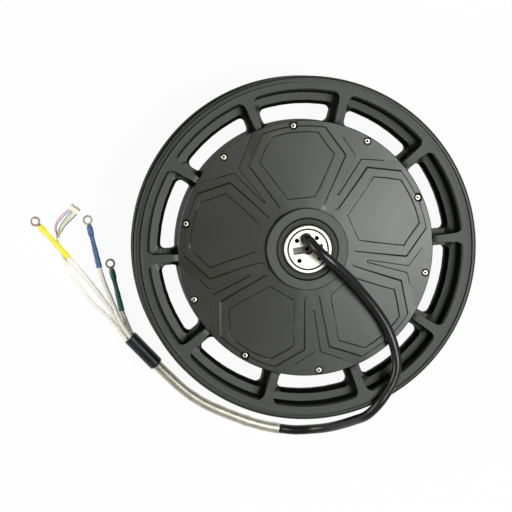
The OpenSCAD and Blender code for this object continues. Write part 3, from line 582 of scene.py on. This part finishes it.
def on_recess_brow(edge):
    """Says whether an edge is the brow of the recess in one of a cover's panels."""
    if not on_brow(edge, 2, RECESS_IN_R, RECESS_OUT_R):
        return False
    wall = min(edge.link_faces, key=lambda f: abs(f.normal.z)).normal
    middle = (edge.verts[0].co + edge.verts[1].co) / 2
    nearest = min(PANEL_MIDDLES, key=lambda m: (m - middle).xy.length)
    return wall.xy.dot((nearest - middle).xy) > 0


def paint_part(piece, material, test):
    """Gives the faces that pass the test a material of their own, which here is always painted
    shade.
    """
    piece.data.materials.append(material)
    hold(piece)
    mode("EDIT")
    pick("FACE", test)
    piece.active_material_index = len(piece.data.materials) - 1
    bpy.ops.object.material_slot_assign()
    mode("OBJECT")


def crisp_copy(node_name, name, edge, body, material, brows=(), shape=None, parts=()):
    """A copy of a solid with its doubles merged and its sharp edges rounded. Brows
    are edges with a chamfer of their own, shape is a change made by hand, and parts
    are faces with a material of their own, which in every call here is painted shade."""
    piece = bpy.data.objects.new(name, nodes[node_name].data.copy())
    bpy.context.scene.collection.objects.link(piece)
    hold(piece)
    mode("EDIT")
    bpy.ops.mesh.select_all(action="SELECT")
    bpy.ops.mesh.remove_doubles(threshold=0.00001)
    bpy.ops.mesh.dissolve_limited(angle_limit=math.radians(0.4))
    for test, width in brows:
        pick("EDGE", test)
        bpy.ops.mesh.bevel(offset=width, segments=1, affect="EDGES")
    if shape:
        shape()
    mode("OBJECT")
    paint(piece, material)
    for shade_paint, test in parts:
        paint_part(piece, shade_paint, test)
    round_edges(piece, edge)
    even_shading(piece)
    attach(piece, body)
    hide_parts(node_name)


# The groove round the rim's flange, and how far it is drawn inwards and down
GROOVE_IN_R, GROOVE_OUT_R, GROOVE_H = 187.2, 189.2, 32.8
GROOVE_FLOOR_W = 1.5
GROOVE_WIDER, GROOVE_DEEPER = 0.9957, 0.945
# The sloping shelves in the rim's pockets, and how they are drawn level
SHELF_IN_R, SHELF_OUT_R, SHELF_H = 164.5, 175.2, 13.4
WEB_END_R, WEB_H, SHELF_SLOPE = 162, 10.5, 7.1 / 13
SHELF_OFF = 0.25
SHELF_NARROWER, SHELF_FLATTER = 0.9985, 0.15
# Where the windows' walls are
WINDOW_IN_R, WINDOW_OUT_R, WINDOW_END_H = 141.2, 180, 33.5


def polar_of(point):
    """A point's distance from the axis and height over the middle plane, in millimetres."""
    return point.xy.length / MM, (point.z - MID_Z) / MM


def on_groove_wall(vert):
    """Says whether a point is on the groove's inner wall, from its floor up."""
    r, h = polar_of(vert.co)
    return abs(r - GROOVE_IN_R) < NEAR and abs(h) > GROOVE_H - NEAR


def on_groove_floor(vert):
    """Says whether a point is on the groove's floor."""
    r, h = polar_of(vert.co)
    across = GROOVE_IN_R - GROOVE_FLOOR_W < r < GROOVE_OUT_R + NEAR
    return across and abs(abs(h) - GROOVE_H) < NEAR


def on_shelf(vert, side):
    """Says whether a point is on a sloping shelf of one side of the wheel."""
    r, h = polar_of(vert.co)
    slope = WEB_H + SHELF_SLOPE * (r - WEB_END_R)
    return SHELF_IN_R < r < SHELF_OUT_R and abs(side * h - slope) < SHELF_OFF


def scale_about(level, across, upwards):
    """Scales what is picked about the axis and a level over the middle plane."""
    bpy.ops.transform.resize(
        value=(across, across, upwards), center_override=(0, 0, MID_Z + level * MM),
    )


def deepen_rim():
    """Cuts the rim's groove deeper and levels the shelves in its pockets."""
    bpy.ops.mesh.tris_convert_to_quads(
        face_threshold=math.radians(14), shape_threshold=math.radians(60),
    )
    pick("VERT", on_groove_wall)
    scale_about(0, GROOVE_WIDER, 1)
    pick("VERT", on_groove_floor)
    scale_about(0, 1, GROOVE_DEEPER)
    for side in (-1, 1):
        pick("VERT", lambda v: on_shelf(v, side))
        scale_about(side * SHELF_H, SHELF_NARROWER, SHELF_FLATTER)


def on_window_wall(face):
    """Says whether a face is a wall between the drum and the rim's inside."""
    r, h = polar_of(face.calc_center_median())
    steep = abs(face.normal.z) < 0.6
    return steep and WINDOW_IN_R < r < WINDOW_OUT_R and abs(h) < WINDOW_END_H


# The axle's ends, with the holes, the slot and the recess in them, and the collars
AXLE_R, END_H = 22.5, 49
CHAMFER_W, CHAMFER_FOOT_H = 0.65, 0.7
AXLE_CHAMFER_IN, COLLAR_CHAMFER_OUT = 0.983, 1.02
SLOT_H, CENTRE_RECESS_H = 5, 8
HOLES_END_H = 26
# Where the slot's floor turns from grey to dark; both are painted shade
SPLIT_X = 5
# The covers' screws, their heads and the wells round them
SCREW_R = 138.4
HEAD_SEAT_H, SOCKET_FLOOR_H = 29.8, 30.8
SOCKET_R, WELL_R = 1.5, 4.7


def in_end_hole(face):
    """Says whether a face is in a hole of the axle's ends or on their outer chamfers."""
    r, h = polar_of(face.calc_center_median())
    if abs(h) > END_H - CHAMFER_FOOT_H and AXLE_R - 1 < r and abs(face.normal.z) < 0.95:
        return True
    if r > AXLE_R - 0.8 or abs(h) < HOLES_END_H:
        return False
    return abs(face.normal.z) < 0.5 or abs(h) < END_H - CENTRE_RECESS_H - 0.5


def on_end_floor(face, *depths):
    """Says whether a face is a floor in the axle's ends at one of these depths."""
    r, h = polar_of(face.calc_center_median())
    below = END_H - abs(h)
    return (
        abs(face.normal.z) > FACING and r < AXLE_R - 1
        and any(abs(below - depth) < NEAR for depth in depths)
    )


def on_slot_floor(face):
    """Says whether a face is the floor of the slot's left part or of the recess."""
    left = face.calc_center_median().x < SPLIT_X * MM
    return left and on_end_floor(face, SLOT_H, CENTRE_RECESS_H)


def on_dark_slot_floor(face):
    """Says whether a face is the floor of the slot's right part."""
    right = face.calc_center_median().x > SPLIT_X * MM
    return right and on_end_floor(face, SLOT_H)


def widen_chamfer(chosen, scale):
    """Scales the end faces' points whose radius passes the test, and so a chamfer."""
    def at_end(vert):
        r, h = polar_of(vert.co)
        return chosen(r) and abs(abs(h) - END_H) < NEAR / 2

    pick("VERT", at_end)
    scale_about(0, scale, 1)


def widen_collar_chamfer():
    """Draws the inner chamfer of a collar's end outwards."""
    widen_chamfer(lambda r: r < AXLE_R + CHAMFER_W, COLLAR_CHAMFER_OUT)


def widen_axle_chamfer():
    """Draws the outer chamfers of the axle's ends inwards."""
    widen_chamfer(lambda r: r > AXLE_R - CHAMFER_W, AXLE_CHAMFER_IN)


def on_collar_chamfer(face):
    """Says whether a face is on the inner chamfer or wall of a collar."""
    r, _ = polar_of(face.calc_center_median())
    return r < AXLE_R + 1 and abs(face.normal.z) < 0.95


def from_screw(point):
    """How far a point lies from the axis of the nearest screw, in millimetres."""
    pitch = math.tau / SCREWS
    r, _ = polar_of(point)
    turn = math.atan2(point.y, point.x) - math.radians(SCREW_TURN)
    turn = (turn + pitch / 2) % pitch - pitch / 2
    return math.hypot(r * math.cos(turn) - SCREW_R, r * math.sin(turn))


def in_socket(face):
    """Says whether a face is a wall or the floor of a screw's socket."""
    middle = face.calc_center_median()
    _, h = polar_of(middle)
    deep = abs(face.normal.z) < 0.3 or abs(h) < SOCKET_FLOOR_H
    return deep and from_screw(middle) < SOCKET_R and abs(h) > HEAD_SEAT_H


def in_well(face):
    """Says whether a face is a wall or the floor of the well round a screw's head."""
    middle = face.calc_center_median()
    deep = abs(face.normal.z) < 0.3 or abs(polar_of(middle)[1]) < HEAD_SEAT_H + NEAR
    return deep and from_screw(middle) < WELL_R


# The rim's window walls get painted shade
crisp_copy(
    "wheel_casting", "wheel", 0.5 * MM, "rotor", rim_black, shape=deepen_rim,
    parts=[(window_shade_black, on_window_wall)],
)
# The screws' wells and sockets and the collars' inner chamfers get painted shade
for end in ("cable_side", "plain_side"):
    crisp_copy(
        end + "_cover", end + "_lid", 0.3 * MM, "rotor", cover_black,
        brows=[(on_low_step, 1 * MM), (on_recess_brow, 0.7 * MM)],
        parts=[(shade_paint_dark, in_well)],
    )
    crisp_copy(
        end + "_screws", end + "_bolts", 0.12 * MM, "rotor", stainless,
        parts=[(shade_paint_dark, in_socket)],
    )
    crisp_copy(
        end + "_collar", end + "_sleeve_ring", 0.25 * MM, "stator", turned_steel,
        shape=widen_collar_chamfer,
        parts=[(shade_paint_dark, on_collar_chamfer)],
    )
# The axle's slot and recess floors, holes and chamfers get painted shade
crisp_copy(
    "axle", "axle_shaft", 0.25 * MM, "stator", turned_steel, shape=widen_axle_chamfer,
    parts=[(milled_shade_grey, on_slot_floor), (shade_paint_dark, in_end_hole), (shade_paint_dark, on_dark_slot_floor)],
)


# The cord's ends
def turned_body(name, stations, sides):
    """A closed body drawn out along +X from a ring. A station is a place on the
    axis and the half width and half height there, in millimetres, and its
    centre's height."""
    x, wide, high, level = stations[0]
    bpy.ops.object.select_all(action="DESELECT")
    bpy.ops.mesh.primitive_circle_add(
        vertices=sides, radius=wide * MM, fill_type="NOTHING",
        location=(x * MM, 0, level * MM), rotation=(0, math.pi / 2, 0),
    )
    piece = bpy.context.object
    piece.name = name
    bpy.ops.object.transform_apply()
    mode("EDIT")
    bpy.ops.transform.resize(value=(1, 1, high / wide), center_override=(x * MM, 0, level * MM))
    bpy.ops.mesh.edge_face_add()
    for before, after in zip(stations, stations[1:]):
        step = [(after[0] - before[0]) * MM, 0, (after[3] - before[3]) * MM]
        bpy.ops.mesh.extrude_region_move(TRANSFORM_OT_translate={"value": step})
        bpy.ops.transform.resize(
            value=(1, after[1] / before[1], after[2] / before[2]),
            center_override=(after[0] * MM, 0, after[3] * MM),
        )
    bpy.ops.mesh.select_all(action="SELECT")
    bpy.ops.mesh.normals_make_consistent(inside=False)
    mode("OBJECT")
    return piece


def lay_along(piece, place, turn, tilt=0):
    """Turns a piece from +X to its heading, moves it to its place and applies both."""
    hold(piece)
    piece.rotation_euler = (0, math.radians(tilt), math.radians(turn))
    piece.location = Vector(place) * MM
    bpy.ops.object.transform_apply()


def finish_piece(piece, material, body, *replaced):
    paint(piece, material)
    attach(piece, body)
    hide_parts(*replaced)


def wrinkle(piece, amount, seed):
    """Moves the points of a shrunk skin a little along their normals."""
    hold(piece)
    mode("EDIT")
    bpy.ops.mesh.select_all(action="SELECT")
    bpy.ops.transform.vertex_random(offset=amount, uniform=0, normal=1, seed=seed)
    mode("OBJECT")


def refine(piece):
    smooth = piece.modifiers.new("smooth_skin", "SUBSURF")
    smooth.levels = smooth.render_levels = 1
    apply_all(piece)


# Outside of a shrunk tube from the wire's end to the eye's, then back inside
TUBE_SKIN = [
    (0.05, 3.2, 3.2, 0), (0.12, 3.28, 3.28, 0), (0.5, 3.34, 3.34, 0), (4, 3.3, 3.32, 0),
    (7.5, 3.34, 3.3, 0), (10.7, 3.34, 3.34, 0), (11.1, 3.3, 3.3, 0), (11.4, 3.12, 3.12, 0),
    (12.2, 3.1, 3.1, 0), (16, 3.13, 3.08, 0), (21, 3.1, 3.1, 0), (23, 2.95, 2.75, 0),
    (25, 2.72, 2.5, 0), (29, 2.66, 2.34, 0), (33, 2.7, 2.4, 0), (35.8, 2.68, 2.6, 0),
    (37.6, 2.9, 2.8, 0), (39.2, 3.42, 3.3, 0), (40.4, 3.58, 3.5, 0), (43, 3.5, 3.52, 0),
    (45.6, 3.58, 3.42, 0), (46.8, 3.4, 3.1, 0), (48, 3.2, 2.62, 0), (48.8, 3.12, 2.5, 0),
    (49, 3.05, 2.44, 0), (49, 2.75, 2.16, 0), (48.2, 2.72, 2.14, 0), (46, 3, 2.9, 0),
]
# The terminal's barrel, which is flattened into the tongue of its eye
TERMINAL_BARREL = [
    (38, 2.9, 2.9, 0), (40, 3, 3, 0), (45.4, 2.98, 2.9, 0), (47, 2.9, 2.3, -0.4),
    (48.4, 2.75, 1.6, -0.95), (49.8, 2.7, 0.95, -1.6), (50.8, 2.75, 0.7, -1.85),
    (52.2, 2.9, 0.62, -1.85),
]
# Its eye, from the tube's start
EYE_AT, EYE_R, EYE_HOLE_R = 56, 5.75, 3.35
EYE_LOW, EYE_HIGH = -2.52, -1.18
# Outside of the boot from the wrap's end to the leads', then back inside
BOOT_AT = (-163.5, -137.5, 8.7)
BOOT_TURN = 134
BOOT_SKIN = [
    (0.1, 6.3, 6.3, 0), (0.1, 7.6, 7.6, 0), (0.25, 7.95, 7.95, 0), (0.9, 8.25, 8.2, 0),
    (4, 8.38, 8.3, 0), (11, 8.44, 8.28, 0), (19, 8.36, 8.36, 0), (27, 8.44, 8.3, 0),
    (36, 8.4, 8.36, 0), (42.4, 8.46, 8.4, 0), (43.7, 8.4, 8.34, 0), (43.95, 8.15, 8.1, 0),
    (43.95, 7.6, 7.55, 0), (43.7, 7.45, 7.4, 0), (43.2, 7.4, 7.35, 0),
]
# How far the points of the skins are moved, and the angle from which an edge is sharp
TUBE_CREASE, BOOT_CREASE = 0.035, 0.04
SKIN_ANGLE = 40


def shrunk_tube(tint, material):
    place, turn, tilt = LUGS[tint]
    tube = turned_body("shrink_tube_" + tint, TUBE_SKIN, 28)
    wrinkle(tube, TUBE_CREASE * MM, len(tint))
    refine(tube)
    even_shading(tube, SKIN_ANGLE)
    lay_along(tube, place, turn, tilt)
    finish_piece(tube, material, "stator", "lug_tube_" + tint)


def eye_terminal(tint, material):
    """A ring terminal: a flattened barrel, and an eye with a rounded rim."""
    place, turn, tilt = LUGS[tint]
    barrel = turned_body("barrel", TERMINAL_BARREL, 24)
    refine(barrel)
    bpy.ops.object.select_all(action="DESELECT")
    bpy.ops.mesh.primitive_cylinder_add(
        vertices=44, radius=EYE_R * MM, depth=(EYE_HIGH - EYE_LOW) * MM,
        location=(EYE_AT * MM, 0, (EYE_HIGH + EYE_LOW) / 2 * MM),
    )
    eye = bpy.context.object
    bpy.ops.object.transform_apply()
    mode("EDIT")
    pick("FACE", lambda f: abs(f.normal.z) > FACING)
    bpy.ops.mesh.inset(thickness=(EYE_R - EYE_HOLE_R) * MM)
    bpy.ops.mesh.delete(type="FACE")
    pick("EDGE", lambda e: e.is_boundary)
    bpy.ops.mesh.bridge_edge_loops()
    bpy.ops.mesh.select_all(action="SELECT")
    bpy.ops.mesh.normals_make_consistent(inside=False)
    mode("OBJECT")
    round_edges(eye, 0.4 * MM, segments=3, degrees=40)
    hold(eye)
    barrel.select_set(True)
    bpy.ops.object.join()
    eye.name = "eye_terminal_" + tint
    even_shading(eye, SKIN_ANGLE)
    lay_along(eye, place, turn, tilt)
    finish_piece(eye, material, "stator", "ring_terminal_" + tint)


for tint, tube_finish, metal in (
    ("yellow", shrink_yellow, bare_copper),
    ("blue", shrink_blue, tinned),
    ("green", shrink_green, tinned),
):
    shrunk_tube(tint, tube_finish)
    eye_terminal(tint, metal)

boot = turned_body("branch_boot", BOOT_SKIN, 36)
wrinkle(boot, BOOT_CREASE * MM, 5)
refine(boot)
even_shading(boot, SKIN_ANGLE)
lay_along(boot, BOOT_AT, BOOT_TURN)
finish_piece(boot, boot_black, "stator", "breakout_boot")

# The sensor plug's body, the cells in its mouth, the slots over them and the step
CONNECTOR_SIZE = (7.2, 13, 4.8)
CELL_W, CELL_LOW, CELL_HIGH, CELL_DEEP, MOUTH_X = 1.3, 1.6, 3.1, 6, 7
SLOT_START, SLOT_END, SLOT_DEEP = 4.4, 6.9, 1.1
STEP_X, STEP_DEEP = 1.6, 0.8


def in_cell_row(face):
    """Says whether a face is in line with a cell, seen along the plug."""
    y = face.calc_center_median().y / MM
    return any(abs(y - (k - MIDDLE_CONTACT) * CONTACT_PITCH) < CELL_W / 2 for k in range(CONTACTS))


def on_cell_mouth(face):
    """Says whether a face is the mouth of a cell, at the end away from the wires."""
    middle = face.calc_center_median()
    level = CELL_LOW < middle.z / MM < CELL_HIGH
    return abs(face.normal.x) > FACING and in_cell_row(face) and level and middle.x > MOUTH_X * MM


def on_step_top(face):
    """Says whether a face is on top of the plug's end by the wires."""
    return face.normal.z > FACING and face.calc_center_median().x < STEP_X * MM


def over_slot(face):
    """Says whether a face looks up from the length of the plug that has the slots."""
    return face.normal.z > FACING and SLOT_START < face.calc_center_median().x / MM < SLOT_END


def on_slot_bottom(face):
    """Says whether a face is the floor of one of the slots over the cells."""
    sunk = CONNECTOR_SIZE[2] - SLOT_DEEP
    return over_slot(face) and abs(face.calc_center_median().z / MM - sunk) < NEAR


def sensor_housing():
    """The sensor plug: a block with a step, cells in its mouth and slots over them."""
    long, _, high = CONNECTOR_SIZE
    bpy.ops.object.select_all(action="DESELECT")
    bpy.ops.mesh.primitive_cube_add(
        size=1, location=(long / 2 * MM, 0, high / 2 * MM),
        scale=[v * MM for v in CONNECTOR_SIZE],
    )
    housing = bpy.context.object
    housing.name = "sensor_housing"
    bpy.ops.object.transform_apply()
    mode("EDIT")
    rows = [
        (k - MIDDLE_CONTACT) * CONTACT_PITCH + side * CELL_W / 2
        for k in range(CONTACTS) for side in (-1, 1)
    ]
    cuts = [((0, y, 0), (0, 1, 0)) for y in rows]
    cuts += [((0, 0, z), (0, 0, 1)) for z in (CELL_LOW, CELL_HIGH, high - STEP_DEEP)]
    cuts += [((x, 0, 0), (1, 0, 0)) for x in (STEP_X, SLOT_START, SLOT_END)]
    for place, way in cuts:
        bpy.ops.mesh.select_all(action="SELECT")
        bpy.ops.mesh.bisect(plane_co=[v * MM for v in place], plane_no=way)
    pick("FACE", on_step_top)
    bpy.ops.transform.translate(value=(0, 0, -STEP_DEEP * MM))
    bpy.ops.mesh.select_all(action="SELECT")
    bpy.ops.mesh.remove_doubles(threshold=0.000001)
    pick("FACE", on_cell_mouth)
    bpy.ops.mesh.extrude_region_move(TRANSFORM_OT_translate={"value": (-CELL_DEEP * MM, 0, 0)})
    pick("FACE", lambda f: over_slot(f) and in_cell_row(f))
    bpy.ops.mesh.extrude_region_move(TRANSFORM_OT_translate={"value": (0, 0, -SLOT_DEEP * MM)})
    bpy.ops.mesh.select_all(action="SELECT")
    bpy.ops.mesh.normals_make_consistent(inside=False)
    mode("OBJECT")
    round_edges(housing, 0.12 * MM, degrees=60)
    even_shading(housing)
    paint(housing, cream_nylon)
    # The slots' floors get painted shade
    paint_part(housing, milled_shade_grey, on_slot_bottom)
    lay_along(housing, CONNECTOR_AT / MM, CONNECTOR_TURN)
    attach(housing, "stator")
    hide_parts("hall_connector")


sensor_housing()


# Floor and lights
FLOOR_SIZE, FLOOR_DROP = 14, 0.0002
FLOOR_GLOW_SHARE = 0.94
LAMPS_AIM = Vector((0, 0, 0.05))
WORLD_LIGHT = 0.2


def add_floor():
    """A pale floor that glows evenly where the camera or a reflection sees it, and
    lights the motor as plain paint does."""
    bpy.ops.mesh.primitive_plane_add(size=FLOOR_SIZE, location=(0, 0, -FLOOR_DROP))
    floor = bpy.context.object
    floor.name = "floor"
    material, tree, node, shader = shade_nodes("pale_floor")
    set_sockets(shader, {"Base Color": (0.7, 0.7, 0.7, 1), "Roughness": 0.8})
    glow = node("Emission")
    set_sockets(glow, {"Strength": 1})
    rays = node("LightPath")

    def combine(operation, *sources):
        """A node that combines the values of other nodes."""
        made = node("Math")
        made.operation = operation
        for socket, source in zip(made.inputs, sources):
            tree.links.new(source, socket)
        return made

    glossy = combine(
        "MAXIMUM", rays.outputs["Is Glossy Ray"], rays.outputs["Is Transmission Ray"],
    )
    seen = combine("MAXIMUM", rays.outputs["Is Camera Ray"], glossy.outputs[0])
    share = combine("MULTIPLY", seen.outputs[0])
    share.inputs[1].default_value = FLOOR_GLOW_SHARE
    mix = node("MixShader")
    for socket, source in zip(mix.inputs, (share, shader, glow)):
        tree.links.new(source.outputs[0], socket)
    tree.links.new(mix.outputs[0], tree.nodes["Material Output"].inputs["Surface"])
    paint(floor, material)


def add_light(name, place, size, power, colour=(1, 1, 1)):
    data = bpy.data.lights.new(name, "AREA")
    data.shape = "RECTANGLE"
    data.size, data.size_y = size
    data.energy = power
    data.color = colour
    lamp = bpy.data.objects.new(name, data)
    lamp.location = place
    lamp.rotation_euler = (LAMPS_AIM - Vector(place)).to_track_quat("-Z", "Y").to_euler()
    bpy.context.scene.collection.objects.link(lamp)


add_floor()
add_light("softbox", (1.45, -0.1, 3.1), (1.2, 1.5), 116)
add_light("key_left", (-2.5, 0.1, 1.1), (1.8, 1.2), 44, (1, 0.98, 0.95))
world = bpy.data.worlds.new("studio")
world.use_nodes = True
set_sockets(world.node_tree.nodes["Background"], {
    "Color": (1, 1, 1, 1), "Strength": WORLD_LIGHT,
})
bpy.context.scene.world = world
bpy.context.scene.view_settings.view_transform = "Standard"
